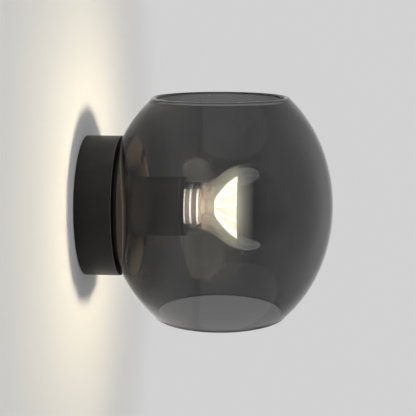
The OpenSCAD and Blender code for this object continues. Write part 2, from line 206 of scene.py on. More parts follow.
def edit_all() -> None:
    """Enter edit mode with everything selected."""
    bpy.ops.object.mode_set(mode="EDIT")
    bpy.ops.mesh.select_all(action="SELECT")


def spaced(first: float, last: float, count: int) -> list[float]:
    """Return evenly spaced numbers with both ends among them, one more than the count."""
    return [first + (last - first) * i / count for i in range(count + 1)]


def cut(piece: Piece, cutter: Piece) -> None:
    """Take one solid away from another.

    Args:
        piece: the solid that is cut.
        cutter: the solid that cuts, which is deleted.
    """
    only(piece)
    modifier = piece.modifiers.new("cut", "BOOLEAN")
    modifier.operation = "DIFFERENCE"
    modifier.solver = "EXACT"
    modifier.object = cutter
    bpy.ops.object.modifier_apply(modifier=modifier.name)
    bpy.data.objects.remove(cutter)


def rod(name: str, points: list[Vector], radius: float) -> Piece:
    """Make a round rod or wire along a smooth curve through points.

    Args:
        name: name of the piece.
        points: places that the curve passes, in metres.
        radius: radius of the rod.

    Returns:
        The rod as a mesh with closed ends.
    """
    only_nothing()
    bpy.ops.curve.primitive_bezier_curve_add(location=(0, 0, 0))
    piece = bpy.context.active_object
    spline = piece.data.splines[0]
    spline.bezier_points.add(len(points) - 2)
    for knot, point in zip(spline.bezier_points, points):
        knot.co = point
        knot.handle_left_type = "AUTO"
        knot.handle_right_type = "AUTO"
    piece.data.resolution_u = ROD_STEPS
    piece.data.bevel_depth = radius
    piece.data.bevel_resolution = ROD_BEVEL
    piece.data.use_fill_caps = True
    only(piece)
    bpy.ops.object.convert(target="MESH")
    piece = named(name)
    return smooth(settle(piece), ROD_ANGLE)


def thread_wave(piece: Piece, start: float, end: float, depth: float, fade: float) -> None:
    """Roll a round right-hand thread into a turned tube on the lamp axis.

    Args:
        piece: tube with rings close together between start and end.
        start: distance from the wall where the thread begins.
        end: distance from the wall where it ends.
        depth: depth of the groove below the crest.
        fade: length over which the thread runs out at each end.
    """
    for vertex in piece.data.vertices:
        x, y, z = vertex.co
        along = -y
        if not start < along < end:
            continue
        turn = math.atan2(z, x) / math.tau
        wave = 0.5 - 0.5 * math.cos(math.tau * (along / PITCH - turn))
        strength = min(1.0, (along - start) / fade, (end - along) / fade)
        radius = math.hypot(x, z)
        scale = (radius - depth * wave * strength) / radius
        vertex.co = (x * scale, y, z * scale)
    piece.data.update()


# Shader nodes


class Nodes:
    """A node tree with short ways to add to it.

    A value that a method takes is an output to link, or a number or a colour to set.
    """

    def __init__(self, tree: Tree) -> None:
        """Keep the tree."""
        self.tree = tree

    def new(self, kind: str) -> Node:
        """Add a node by the name of its type."""
        return self.tree.nodes.new(kind)

    def feed(self, socket: Socket, value: Value) -> None:
        """Link or set a socket.

        Args:
            socket: the input.
            value: what it gets.
        """
        if isinstance(value, Socket):
            self.tree.links.new(value, socket)
        else:
            socket.default_value = (*value, 1.0) if isinstance(value, tuple) else value

    def fill(self, node: Node, **values: Value) -> None:
        """Feed a node's inputs by name, with underscores for spaces."""
        for key, value in values.items():
            self.feed(node.inputs[key.replace("_", " ")], value)

    def math(self, operation: str, *values: Value) -> Socket:
        """Add a Math node.

        Args:
            operation: name of the operation.
            values: what it works on, in order.

        Returns:
            The node's output.
        """
        node = self.new("ShaderNodeMath")
        node.operation = operation
        for socket, value in zip(node.inputs, values):
            self.feed(socket, value)
        return node.outputs[0]

    def times(self, first: Value, *others: Value) -> Socket:
        """Multiply values with each other.

        Args:
            first: the first value.
            others: the rest.

        Returns:
            The product.
        """
        for other in others:
            first = self.math("MULTIPLY", first, other)
        return first

    def hypotenuse(self, first: Socket, second: Socket) -> Socket:
        """Return the length across two sides that are square to each other."""
        return self.math("SQRT", self.math("ADD", self.times(first, first), self.times(second, second)))

    def split(self, vector: Socket) -> Outputs:
        """Take a vector apart.

        Args:
            vector: the vector.

        Returns:
            An output for each axis.
        """
        parts = self.new("ShaderNodeSeparateXYZ")
        self.fill(parts, Vector=vector)
        return parts.outputs

    def mapped(self, value: Value, source: Span, target: Span = (0.0, 1.0), eased: bool = False) -> Socket:
        """Map a value from one range to another, held inside it.

        Args:
            value: what to map.
            source: range that it comes from.
            target: range that it goes to.
            eased: whether it runs softly at both ends.

        Returns:
            The mapped value.
        """
        node = self.new("ShaderNodeMapRange")
        node.interpolation_type = "SMOOTHSTEP" if eased else "LINEAR"
        self.fill(node, From_Min=source[0], From_Max=source[1], To_Min=target[0], To_Max=target[1],
                  Value=value)
        return node.outputs["Result"]

    def mixed(self, mask: Socket, first: Value, second: Value) -> Socket:
        """Mix two colours.

        Args:
            mask: how much of the second shows.
            first: colour where the mask is 0.
            second: colour where the mask is 1.

        Returns:
            The mixed colour.
        """
        node = self.new("ShaderNodeMix")
        node.data_type = "RGBA"
        for index, value in zip(MIX_INPUTS, (mask, first, second)):
            self.feed(node.inputs[index], value)
        return node.outputs[MIX_OUTPUT]

    def mixed_shaders(self, mask: Socket, first: Socket, second: Socket) -> Socket:
        """Mix two shaders.

        Args:
            mask: how much of the second shows.
            first: shader where the mask is 0.
            second: shader where the mask is 1.

        Returns:
            The mixed shader.
        """
        node = self.new("ShaderNodeMixShader")
        for socket, value in zip(node.inputs, (mask, first, second)):
            self.feed(socket, value)
        return node.outputs[0]

    def noise(self, vector: Socket, scale: Value, detail: float, roughness: float) -> Socket:
        """Add a Noise Texture.

        Args:
            vector: place that it is read at.
            scale: how many times it repeats in a metre.
            detail: octaves of finer noise.
            roughness: how much the finer noise counts.

        Returns:
            Its grey output.
        """
        node = self.new("ShaderNodeTexNoise")
        self.fill(node, Vector=vector, Scale=scale, Detail=detail, Roughness=roughness)
        return node.outputs["Fac"]

    def ray(self, kind: str) -> Socket:
        """Return the mask of one kind of ray."""
        return self.new("ShaderNodeLightPath").outputs[f"Is {kind} Ray"]

    def seen(self) -> Socket:
        """Return a mask of the rays that show a surface: to the camera, in a mirror or through glass."""
        straight = self.math("MAXIMUM", self.ray("Camera"), self.ray("Glossy"))
        return self.math("MAXIMUM", straight, self.ray("Transmission"))


class Group(Nodes):
    """A shader node group that takes a place and numbers and gives numbers."""

    def __init__(self, name: str, numbers: dict[str, float], *results: str) -> None:
        """Start the group with a Vector input.

        Args:
            name: name of the group.
            numbers: default of each number input, by its name.
            results: name of each output.
        """
        super().__init__(bpy.data.node_groups.new(name, "ShaderNodeTree"))
        self.tree.interface.new_socket(name="Vector", in_out="INPUT", socket_type="NodeSocketVector")
        for label, number in numbers.items():
            socket = self.tree.interface.new_socket(name=label, in_out="INPUT", socket_type="NodeSocketFloat")
            socket.default_value = number
        for label in results:
            self.tree.interface.new_socket(name=label, in_out="OUTPUT", socket_type="NodeSocketFloat")
        self.given = self.new("NodeGroupInput").outputs
        self.place = self.given["Vector"]
        self.end = self.new("NodeGroupOutput")


def grain_group() -> Group:
    """Build the fine grain of a coated, cast or moulded surface."""
    group = Group("surface_grain", {"Fine Scale": 2500.0, "Broad Scale": 60.0}, "Height", "Mottle")
    fine = group.noise(group.place, group.given["Fine Scale"], detail=3.0, roughness=0.6)
    broad = group.noise(group.place, group.given["Broad Scale"], detail=5.0, roughness=0.5)
    group.fill(group.end, Height=fine, Mottle=broad)
    return group


def turning_group() -> Group:
    """Build marks that run round a piece turned on the lamp axis, as a lathe leaves them."""
    group = Group("turning_marks", {"Scale": 900.0}, "Mark")
    parts = group.split(group.place)
    ring = group.new("ShaderNodeCombineXYZ")
    group.fill(ring, X=group.hypotenuse(parts["X"], parts["Z"]), Y=parts["Y"])
    group.fill(group.end, Mark=group.noise(ring.outputs[0], group.given["Scale"], detail=2.0, roughness=0.7))
    return group


def rim_group() -> Group:
    """Build a mask of light wear close to a rim of a piece turned on the lamp axis.

    The rim lies at a radius and a distance from the wall.
    """
    group = Group("rim_wear", {"Rim Distance": 0.025, "Rim Radius": 0.05, "Width": 0.0008}, "Mask")
    parts = group.split(group.place)
    across = group.math("SUBTRACT", group.hypotenuse(parts["X"], parts["Z"]), group.given["Rim Radius"])
    along = group.math("ADD", parts["Y"], group.given["Rim Distance"])
    reach = group.math("DIVIDE", group.hypotenuse(across, along), group.given["Width"])
    near = group.math("MAXIMUM", group.math("SUBTRACT", 1.0, reach), 0.0)
    patchy = group.noise(group.place, scale=420.0, detail=4.0, roughness=0.6)
    group.fill(group.end, Mask=group.math("MINIMUM", group.times(near, patchy, WEAR_GAIN), 1.0))
    return group


def dust_group() -> Group:
    """Build a mask of thin dust on faces that look up."""
    group = Group("dust_film", {"Amount": 0.3}, "Mask")
    normal = group.new("ShaderNodeNewGeometry").outputs["Normal"]
    upward = group.math("MAXIMUM", group.split(normal)["Z"], 0.0)
    patches = group.noise(group.place, scale=90.0, detail=6.0, roughness=0.6)
    group.fill(group.end, Mask=group.times(upward, patches, group.given["Amount"]))
    return group


@dataclass(frozen=True)
class Effects:
    """The node groups that the finishes share, each built once."""

    grain: Group = field(default_factory=grain_group)
    marks: Group = field(default_factory=turning_group)
    rim: Group = field(default_factory=rim_group)
    dust: Group = field(default_factory=dust_group)


# Finishes

# Colours of metal that shows at a worn rim and of dust, and how a coat's light patches differ from the rest
WORN: Colour = (0.10, 0.10, 0.10)
DUST: Colour = (0.30, 0.29, 0.27)
COAT_GAIN = 1.35
COAT_LIFT = 0.002
# Painted light on the lit lamp's glass, as emission along the lamp from the wall outwards: a painted glow on
# the stem in the neck with painted glints at its three rings, a painted glow with painted reflections on the
# neck and flare of the envelope, and a painted glow on the mirror beside its rim
STEM_GLOW: Stops = (
    (0.0600, (0.14, 0.11, 0.08)), (0.0694, (0.20, 0.17, 0.13)), (0.0697, (1.00, 0.94, 0.84)),
    (0.0708, (1.00, 0.94, 0.84)), (0.0712, (0.20, 0.17, 0.13)), (0.0741, (0.20, 0.17, 0.13)),
    (0.0744, (1.00, 0.96, 0.85)), (0.0753, (1.00, 0.96, 0.85)), (0.0757, (0.19, 0.16, 0.12)),
    (0.0789, (0.18, 0.15, 0.11)), (0.0792, (1.00, 0.98, 0.88)), (0.0803, (1.00, 0.98, 0.88)),
    (0.0807, (0.15, 0.13, 0.10)), (0.0920, (0.17, 0.16, 0.12)),
)
ENVELOPE_GLOW: Stops = (
    (0.0808, (0.00, 0.00, 0.00)), (0.0826, (0.55, 0.40, 0.26)), (0.0838, (0.93, 0.69, 0.46)),
    (0.0852, (0.90, 0.66, 0.45)), (0.0862, (0.42, 0.33, 0.23)), (0.0874, (0.46, 0.36, 0.26)),
    (0.0884, (0.70, 0.57, 0.40)), (0.0922, (0.66, 0.60, 0.42)), (0.0970, (0.92, 0.90, 0.63)),
    (0.1040, (0.95, 0.92, 0.64)), (0.1084, (0.70, 0.68, 0.48)), (0.1090, (0.00, 0.00, 0.00)),
)
MIRROR_GLOW: Stops = (
    (0.1080, (1.00, 0.97, 0.72)), (0.1109, (0.60, 0.58, 0.44)), (0.1138, (0.31, 0.30, 0.23)),
    (0.1173, (0.12, 0.12, 0.09)), (0.1200, (0.00, 0.00, 0.00)),
)
# The carrier's rim is dark brown and its face a lighter brown, painted lamp light on the face; the sleeve's
# foot gets a painted glow, emission that stands for light thrown from that face
CARRIER_COLOUR_AND_LIGHT: Stops = (
    (0.0280, (0.055, 0.040, 0.030)), (0.0340, (0.055, 0.040, 0.030)), (0.0342, (0.25, 0.21, 0.18)),
    (0.0360, (0.25, 0.21, 0.18)),
)
SLEEVE_PAINTED_GLOW: Stops = (
    (0.0340, (0.140, 0.112, 0.095)), (0.0400, (0.130, 0.104, 0.088)), (0.0450, (0.070, 0.056, 0.048)),
    (0.0520, (0.025, 0.020, 0.017)), (0.0580, (0.000, 0.000, 0.000)),
)


def scaled(colour: Colour, share: float, lift: float = 0.0) -> Colour:
    """Return a share of a colour, lifted a little where that is asked for."""
    return tuple(c * share + lift for c in colour)


class Canvas(Nodes):
    """A new material with its shader and object coordinates, ready for a finish."""

    def __init__(self, name: str) -> None:
        """Make the material and its first nodes.

        Args:
            name: name of the material.
        """
        self.material = bpy.data.materials.new(name)
        self.material.use_nodes = True
        super().__init__(self.material.node_tree)
        self.shader = self.tree.nodes["Principled BSDF"]
        self.end = self.tree.nodes["Material Output"]
        self.place = self.new("ShaderNodeTexCoord").outputs["Object"]

    def set(self, **values: Value) -> None:
        """Feed the shader's own inputs, with underscores for spaces."""
        self.fill(self.shader, **values)

    def group(self, effect: Group, **values: float) -> Outputs:
        """Place a shared effect on the object coordinates.

        Args:
            effect: the node group.
            values: values of its inputs, with underscores for spaces.

        Returns:
            The group's outputs.
        """
        node = self.new("ShaderNodeGroup")
        node.node_tree = effect.tree
        self.fill(node, Vector=self.place, **values)
        return node.outputs

    def vary(self, noise: Socket, low: float, high: float) -> Socket:
        """Let a noise vary a value between two ends and return the output."""
        return self.mapped(noise, NOISE_SPAN, (low, high))

    def around(self, noise: Socket, middle: float, below: float, above: float) -> Socket:
        """Let a noise vary a value from below its middle to above it and return the output."""
        return self.vary(noise, middle - below, middle + above)

    def mottle(self, grain: Outputs, first: Colour, second: Colour) -> Socket:
        """Mottle two colours by the grain and return the output."""
        return self.mixed(self.vary(grain["Mottle"], 0.0, 1.0), first, second)

    def bump(self, height: Socket, strength: float, distance: float) -> None:
        """Drive the shader's normal from a height.

        Args:
            height: the height.
            strength: how strongly it tilts the normal.
            distance: depth of the relief, in metres.
        """
        node = self.new("ShaderNodeBump")
        self.fill(node, Strength=strength, Distance=distance, Height=height)
        self.set(Normal=node.outputs[0])

    def facing(self) -> Socket:
        """Return how far the surface turns away from the ray."""
        return self.new("ShaderNodeLayerWeight").outputs["Facing"]

    def reach(self) -> Socket:
        """Return the distance from the origin."""
        node = self.new("ShaderNodeVectorMath")
        node.operation = "LENGTH"
        self.feed(node.inputs[0], self.place)
        return node.outputs["Value"]

    def bands(self, stops: Stops) -> Socket:
        """Colour the piece by its distance from the wall.

        Args:
            stops: distance and colour of each stop in order, from the wall outwards.

        Returns:
            The colour.
        """
        first, last = stops[0][0], stops[-1][0]
        ramp = self.new("ShaderNodeValToRGB")
        self.fill(ramp, Fac=self.mapped(self.split(self.place)["Y"], (-first, -last)))
        elements = ramp.color_ramp.elements
        elements[0].color = (*stops[0][1], 1.0)
        elements[1].color = (*stops[-1][1], 1.0)
        for distance, colour in stops[1:-1]:
            elements.new((distance - first) / (last - first)).color = (*colour, 1.0)
        return ramp.outputs["Color"]

    def shine(self, stops: Stops, strength: float, power: float) -> None:
        """Paint a glow on the piece by its distance from the wall, less towards its outline: painted light,
        as emission.

        Args:
            stops: distance and colour of each stop.
            strength: brightness of a colour of 1 that faces the ray squarely.
            power: how fast the shine falls towards the outline.
        """
        fall = self.math("POWER", self.math("SUBTRACT", 1.0, self.facing()), power)
        self.set(Emission_Color=self.bands(stops), Emission_Strength=self.times(fall, strength))


@dataclass(frozen=True)
class Finish:
    """A finish, by its name."""

    name: str

    def build(self, effects: Effects) -> Material:
        """Build the material.

        Args:
            effects: the shared groups.

        Returns:
            The material.
        """
        canvas = Canvas(self.name)
        self.paint(canvas, effects)
        return canvas.material

    def paint(self, canvas: Canvas, effects: Effects) -> None:
        """Put the finish on a new canvas, which each kind does in its own way.

        Args:
            canvas: its canvas.
            effects: the shared groups.
        """


@dataclass(frozen=True)
class CoatedMetal(Finish):
    """Powder-coated metal with a fine texture, worn a little at its rim.

    With no colour of its own it takes its colour from the bands, which on the carrier hold painted lamp
    light. The painted glow is emission that stands for light that falls on it.
    """

    colour: Colour | None
    rim_distance: float
    rim_radius: float
    roughness: float = 0.5
    bands: Stops = ()
    painted_glow: Stops = ()

    def paint(self, canvas: Canvas, effects: Effects) -> None:
        """Put the finish on.

        Args:
            canvas: its canvas.
            effects: the shared groups.
        """
        grain = canvas.group(effects.grain, Fine_Scale=2600.0, Broad_Scale=45.0)
        wear = canvas.group(effects.rim, Rim_Distance=self.rim_distance, Rim_Radius=self.rim_radius,
                            Width=0.7 * MM)
        dust = canvas.group(effects.dust, Amount=0.10)
        if self.colour is None:
            coat = canvas.bands(self.bands)
        else:
            coat = canvas.mottle(grain, self.colour, scaled(self.colour, COAT_GAIN, COAT_LIFT))
        # Painted glow: emission that stands for light thrown on the piece
        if self.painted_glow:
            canvas.shine(self.painted_glow, strength=1.0, power=0.5)
        worn = canvas.mixed(wear["Mask"], coat, WORN)
        canvas.set(Metallic=0.0, IOR=1.5, Specular_IOR_Level=0.2,
                   Base_Color=canvas.mixed(dust["Mask"], worn, DUST),
                   Roughness=canvas.around(grain["Mottle"], self.roughness, below=0.05, above=0.07))
        canvas.bump(grain["Height"], strength=0.35, distance=0.06 * MM)


@dataclass(frozen=True)
class BareMetal(Finish):
    """Plated or turned metal with fine marks and faint tarnish."""

    colour: Colour
    roughness: float
    mark_scale: float = 900.0

    def paint(self, canvas: Canvas, effects: Effects) -> None:
        """Put the finish on.

        Args:
            canvas: its canvas.
            effects: the shared groups.
        """
        marks = canvas.group(effects.marks, Scale=self.mark_scale)
        grain = canvas.group(effects.grain, Fine_Scale=1400.0, Broad_Scale=120.0)
        canvas.set(Metallic=1.0, Base_Color=canvas.mottle(grain, self.colour, scaled(self.colour, 0.72)),
                   Roughness=canvas.around(marks["Mark"], self.roughness, below=0.07, above=0.1))
        canvas.bump(marks["Mark"], strength=0.25, distance=0.03 * MM)


@dataclass(frozen=True)
class Moulded(Finish):
    """Moulded plastic, rubber or glazed ceramic."""

    colour: Colour
    roughness: float = 0.4
    coat: float = 0.0
    bump: float = 0.2
    # Emission in the piece's own colour, painted light where it is above 0
    glow: float = 0.0

    def paint(self, canvas: Canvas, effects: Effects) -> None:
        """Put the finish on.

        Args:
            canvas: its canvas.
            effects: the shared groups.
        """
        grain = canvas.group(effects.grain, Fine_Scale=1800.0, Broad_Scale=80.0)
        canvas.set(Coat_Weight=self.coat, Coat_Roughness=0.08, Emission_Color=self.colour,
                   Emission_Strength=self.glow,
                   Base_Color=canvas.mottle(grain, self.colour, scaled(self.colour, 0.85)),
                   Roughness=canvas.around(grain["Mottle"], self.roughness, below=0.04, above=0.06))
        canvas.bump(grain["Height"], self.bump, distance=0.05 * MM)


@dataclass(frozen=True)
class BlownGlass(Finish):
    """Glass that light passes."""

    ior: float
    ripple: float
    frost: float

    def paint(self, canvas: Canvas, effects: Effects) -> None:
        """Make the shader clear.

        Args:
            canvas: its canvas.
            effects: the shared groups.
        """
        grain = canvas.group(effects.grain, Fine_Scale=180.0, Broad_Scale=26.0)
        canvas.set(Base_Color=(1.0, 1.0, 1.0), Metallic=0.0, Transmission_Weight=1.0, IOR=self.ior,
                   Roughness=canvas.vary(grain["Mottle"], 0.0, self.frost))
        canvas.bump(grain["Mottle"], self.ripple, distance=0.6 * MM)


@dataclass(frozen=True)
class SmokedGlass(BlownGlass):
    """Grey glass that takes up light through its thickness."""

    density: float

    def paint(self, canvas: Canvas, effects: Effects) -> None:
        """Put the finish on.

        Args:
            canvas: its canvas.
            effects: the shared groups.
        """
        super().paint(canvas, effects)
        absorb = canvas.new("ShaderNodeVolumeAbsorption")
        canvas.fill(absorb, Color=(0.0, 0.0, 0.0), Density=self.density)
        canvas.fill(canvas.end, Volume=absorb.outputs[0])


@dataclass(frozen=True)
class LitGlass(BlownGlass):
    """Glass of the lit lamp, with a painted glow where the light inside falls on it."""

    stops: Stops

    def paint(self, canvas: Canvas, effects: Effects) -> None:
        """Put the finish on.

        Args:
            canvas: its canvas.
            effects: the shared groups.
        """
        super().paint(canvas, effects)
        canvas.shine(self.stops, strength=1.0, power=3.0)


@dataclass(frozen=True)
class StemGlass(Finish):
    """Pressed glass of the lamp's stem, with a painted glow for the light through it and painted glints at
    its rings.
    """

    colour: Colour
    stops: Stops
    strength: float

    def paint(self, canvas: Canvas, effects: Effects) -> None:
        """Put the finish on.

        Args:
            canvas: its canvas.
            effects: the shared groups.
        """
        grain = canvas.group(effects.grain, Fine_Scale=900.0, Broad_Scale=160.0)
        canvas.set(Coat_Weight=0.5, Coat_Roughness=0.05, Roughness=canvas.vary(grain["Mottle"], 0.15, 0.3),
                   Base_Color=canvas.mottle(grain, self.colour, scaled(self.colour, 0.8)))
        canvas.shine(self.stops, self.strength, power=1.0)


@dataclass(frozen=True)
class SilverMirror(Finish):
    """Vacuum-silvered skin of the lamp's crown, darker where it faces the ray, with a painted glow beside its
    rim.
    """

    colour: Colour
    dark: Colour
    stops: Stops
    strength: float

    def paint(self, canvas: Canvas, effects: Effects) -> None:
        """Put the finish on.

        Args:
            canvas: its canvas.
            effects: the shared groups.
        """
        grain = canvas.group(effects.grain, Fine_Scale=300.0, Broad_Scale=40.0)
        turn = canvas.vary(canvas.facing(), 0.0, 1.0)
        canvas.set(Metallic=1.0, Base_Color=canvas.mixed(turn, self.dark, self.colour),
                   Roughness=canvas.vary(grain["Mottle"], 0.02, 0.05))
        canvas.shine(self.stops, self.strength, power=2.0)


@dataclass(frozen=True)
class GlowingPhosphor(Finish):
    """Lit rods: warm phosphor that shines evenly with slight bands."""

    colour: Colour
    glow: Colour
    strength: float

    def paint(self, canvas: Canvas, effects: Effects) -> None:
        """Put the finish on.

        Args:
            canvas: its canvas.
            effects: the shared groups.
        """
        grain = canvas.group(effects.grain, Fine_Scale=900.0, Broad_Scale=400.0)
        canvas.set(Base_Color=self.colour, Roughness=0.5, Emission_Strength=self.strength,
                   Emission_Color=canvas.mottle(grain, self.glow, scaled(self.glow, 0.8)))


class Finishes:
    """Every finish of the sconce, by its name."""

    def __init__(self, effects: Effects) -> None:
        """Build the materials.

        Args:
            effects: the shared groups.
        """
        canopy_low, canopy_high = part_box("canopy")
        sleeve_low, sleeve_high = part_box("holder_sleeve")
        carrier_low, carrier_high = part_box("carrier")
        makers = [
            BareMetal("zinc_steel", (0.66, 0.67, 0.69), roughness=0.34),
            BareMetal("spring_steel", (0.16, 0.16, 0.17), roughness=0.36),
            CoatedMetal("black_screw", (0.02, 0.02, 0.02), rim_distance=0.0, rim_radius=0.0, roughness=0.4),
            BareMetal("brass", (0.78, 0.60, 0.28), roughness=0.26),
            BareMetal("cap_metal", (0.80, 0.79, 0.77), roughness=0.2, mark_scale=1400.0),
            BareMetal("tinned_copper", (0.74, 0.73, 0.71), roughness=0.3),
            CoatedMetal("black_coat", (0.006, 0.0056, 0.005), -canopy_low.y, canopy_high.x),
            # The sleeve's foot gets a painted glow and the carrier's face a painted lamp-lit colour
            CoatedMetal("holder_black", (0.008, 0.0075, 0.007), -sleeve_low.y, sleeve_high.x,
                        painted_glow=SLEEVE_PAINTED_GLOW),
            CoatedMetal("carrier_black", None, -carrier_low.y, carrier_high.x, bands=CARRIER_COLOUR_AND_LIGHT),
            Moulded("silicone", (0.03, 0.03, 0.03), roughness=0.7, bump=0.4),
            Moulded("ceramic", (0.80, 0.77, 0.70), roughness=0.3, coat=0.6, bump=0.05),
            Moulded("white_plastic", (0.78, 0.78, 0.75), roughness=0.45),
            Moulded("brown_insulation", (0.12, 0.045, 0.02)),
            Moulded("blue_insulation", (0.02, 0.08, 0.30)),
            Moulded("green_insulation", (0.16, 0.30, 0.03)),
            SmokedGlass("smoked_glass", ior=1.42, ripple=0.006, frost=0.0, density=530.0),
            LitGlass("clear_glass", ior=1.45, ripple=0.0, frost=0.012, stops=ENVELOPE_GLOW),
            StemGlass("stem_glass", (0.55, 0.48, 0.40), STEM_GLOW, strength=7.0),
            Moulded("black_glass", (0.01, 0.01, 0.013), roughness=0.15, coat=0.5, bump=0.0),
            SilverMirror("silver_mirror", (1.0, 1.0, 1.0), dark=(0.30, 0.30, 0.31), stops=MIRROR_GLOW,
                         strength=2.7),
            GlowingPhosphor("phosphor", (0.9, 0.6, 0.2), glow=(1.0, 0.96, 0.84), strength=7.0),
            GlowingPhosphor("opal_glass", (1.0, 0.93, 0.82), glow=(1.0, 0.95, 0.82), strength=3.9),
            # The globe's ground mouth edge gets a painted glow, lamp light painted on it
            Moulded("ground_edge", (0.30, 0.26, 0.23), roughness=0.6, bump=0.3, glow=0.3),
        ]
        self.by_name = {maker.name: maker.build(effects) for maker in makers}

    def dress(self, piece: Piece, name: str) -> None:
        """Give a piece one finish all over.

        Args:
            piece: the piece.
            name: name of the finish.
        """
        piece.data.materials.clear()
        piece.data.materials.append(self.by_name[name])


# Sub-assemblies


@dataclass
class SubAssembly:
    """A group of pieces on one side of the sconce, with what they share."""

    finishes: Finishes

    def dress_nodes(self, **plan: tuple[str, ...]) -> None:
        """Give CAD nodes their finishes.

        Args:
            plan: the nodes that take each finish.
        """
        for finish, nodes in plan.items():
            for node in nodes:
                self.finishes.dress(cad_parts[node], finish)
            log.info("dressed %s with %s", ", ".join(nodes), finish)

    def add(self, piece: Piece, body: str, slot: str, *nodes: str, finish: str = "") -> None:
        """Finish a new piece and put it in its place in the frame.

        Args:
            piece: the new piece.
            body: body that it rides on.
            slot: slot of the record that it belongs to; the script uses the name only as its finish, where no
                other is given.
            nodes: nodes that it stands for.
            finish: name of its finish, where that isn't the slot's name.
        """
        self.finishes.dress(piece, finish or slot)
        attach(piece, body)
        if nodes:
            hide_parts(*nodes)
        log.info("made %s, %d faces", piece.name, len(piece.data.polygons))


@dataclass
class WallFixing(SubAssembly):
    """Bracket, earth point, terminal block and wires behind the canopy."""

    wire_radius: float = 0.75 * MM

    def build(self) -> None:
        """Dress the fixings and lay the wires."""
        self.dress_nodes(zinc_steel=("wall_bracket", "block_screws", "block_rivet"), brass=("earth_screw",),
                         tinned_copper=("earth_lug",), white_plastic=("terminal_block",))
        for node, slot, route in self.routes():
            points = [Vector(p) * MM for p in route]
            wire = rod(node.replace("wire", "lead"), points, self.wire_radius)
            self.add(wire, "fixture", slot, node)

    def routes(self) -> list[tuple[str, str, list[tuple[float, float, float]]]]:
        """Return each wire's node, slot and route in millimetres.

        The live and neutral wires start as mirror images, from the terminal block into the nipple.
        """
        start = [
            (7, -7.2, -22), (7, -7.2, -15.6), (7, -7.4, -13.5), (6.5, -8.4, -11.2), (5, -10.5, -8),
            (3.2, -13, -4.2), (2.3, -15.5, -1.4), (2, -18, 0),
        ]
        live = start + [
            (2, -26, 0), (2, -34, 0), (2.2, -35.4, -0.3), (3.2, -36.5, -1.2), (4.5, -36.8, -2.2),
            (5.7, -36.8, -2.8), (6.9, -36.8, -2.8),
        ]
        neutral = [(-x, y, z) for x, y, z in start] + [
            (-2, -26, 0.4), (-2, -34, 0.6), (-2, -35.4, 1.2), (-2.1, -36.5, 2.4), (-2.5, -36.85, 4.4),
            (-3, -36.85, 7), (-3.1, -36.85, 10.4),
        ]
        earth = [
            (0, -7.2, -22), (0, -7.2, -15.6), (0.2, -6.6, -13.8), (1.7, -5, -11.5), (5, -4.2, -7),
            (9.5, -4, 0), (12.6, -4, 8), (14.8, -3.8, 16), (15.6, -3.7, 20.5), (14.8, -3.75, 23),
            (12.8, -3.8, 24), (9, -3.8, 24),
        ]
        return [
            ("live_wire", "brown_insulation", live),
            ("neutral_wire", "blue_insulation", neutral),
            ("earth_wire", "green_insulation", earth),
        ]


@dataclass
class CanopyAndCarrier(SubAssembly):
    """Canopy cup, shadow gap core, carrier disc and the fixings through them."""

    def build(self) -> None:
        """Dress the nodes."""
        self.dress_nodes(black_coat=("canopy", "spacer_core"), black_screw=("canopy_screw",),
                         carrier_black=("carrier",), silicone=("grip_ring",),
                         spring_steel=("spring_clips", "clip_rivets"), brass=("nipple_nut",),
                         zinc_steel=("nipple", "tooth_washer"))


@dataclass
class LampHolder(SubAssembly):
    """Tubular E27 holder with its ceramic body and rolled brass shell."""

    thread_depth: float = 0.7 * MM
    thread_fade: float = 0.5 * PITCH
    rings: int = 72
    sheet: float = 0.4 * MM
    mouth_end: float = 71.0 * MM
    mouth_inner: float = 19.3 * MM
    mouth_round: float = 0.4 * MM

    def build(self) -> None:
        """Dress the nodes, roll the threaded shell and lengthen the sleeve."""
        self.dress_nodes(zinc_steel=("holder_screws", "terminal_screws"), holder_black=("holder_sleeve",),
                         brass=("side_contact", "contact_foot", "contact_tongue", "contact_rivet",
                                "terminals"),
                         ceramic=("holder_body",))
        self.add(self.threaded_shell(), "fixture", "brass", "screw_shell")
        self.add(self.mouth_ring(), "fixture", "black_coat", finish="holder_black")

    def mouth_ring(self) -> Piece:
        """Return the ring that lengthens the sleeve to where the photograph shows its mouth."""
        low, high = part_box("holder_sleeve")
        start, end = -low.y, self.mouth_end
        inner, outer, edge = self.mouth_inner, high.x, self.mouth_round
        profile = [(inner, start), (outer, start), (outer, end - edge), (outer - edge, end),
                   (inner + edge, end), (inner, end - edge)]
        return turned("sleeve_mouth", profile, Axis.LAMP, closed=True)

    def threaded_shell(self) -> Piece:
        """Turn the shell, roll its thread and return it."""
        low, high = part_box("screw_shell")
        near, far, outer = -high.y, -low.y, high.x
        wall_out = [(outer, d) for d in spaced(near, far, self.rings)]
        wall_in = [(outer - self.sheet, d) for _, d in reversed(wall_out)]
        shell = turned("rolled_shell", wall_out + wall_in, Axis.LAMP, closed=True, steps=THREAD_STEPS)
        thread_wave(shell, near, far, self.thread_depth, self.thread_fade)
        return shell


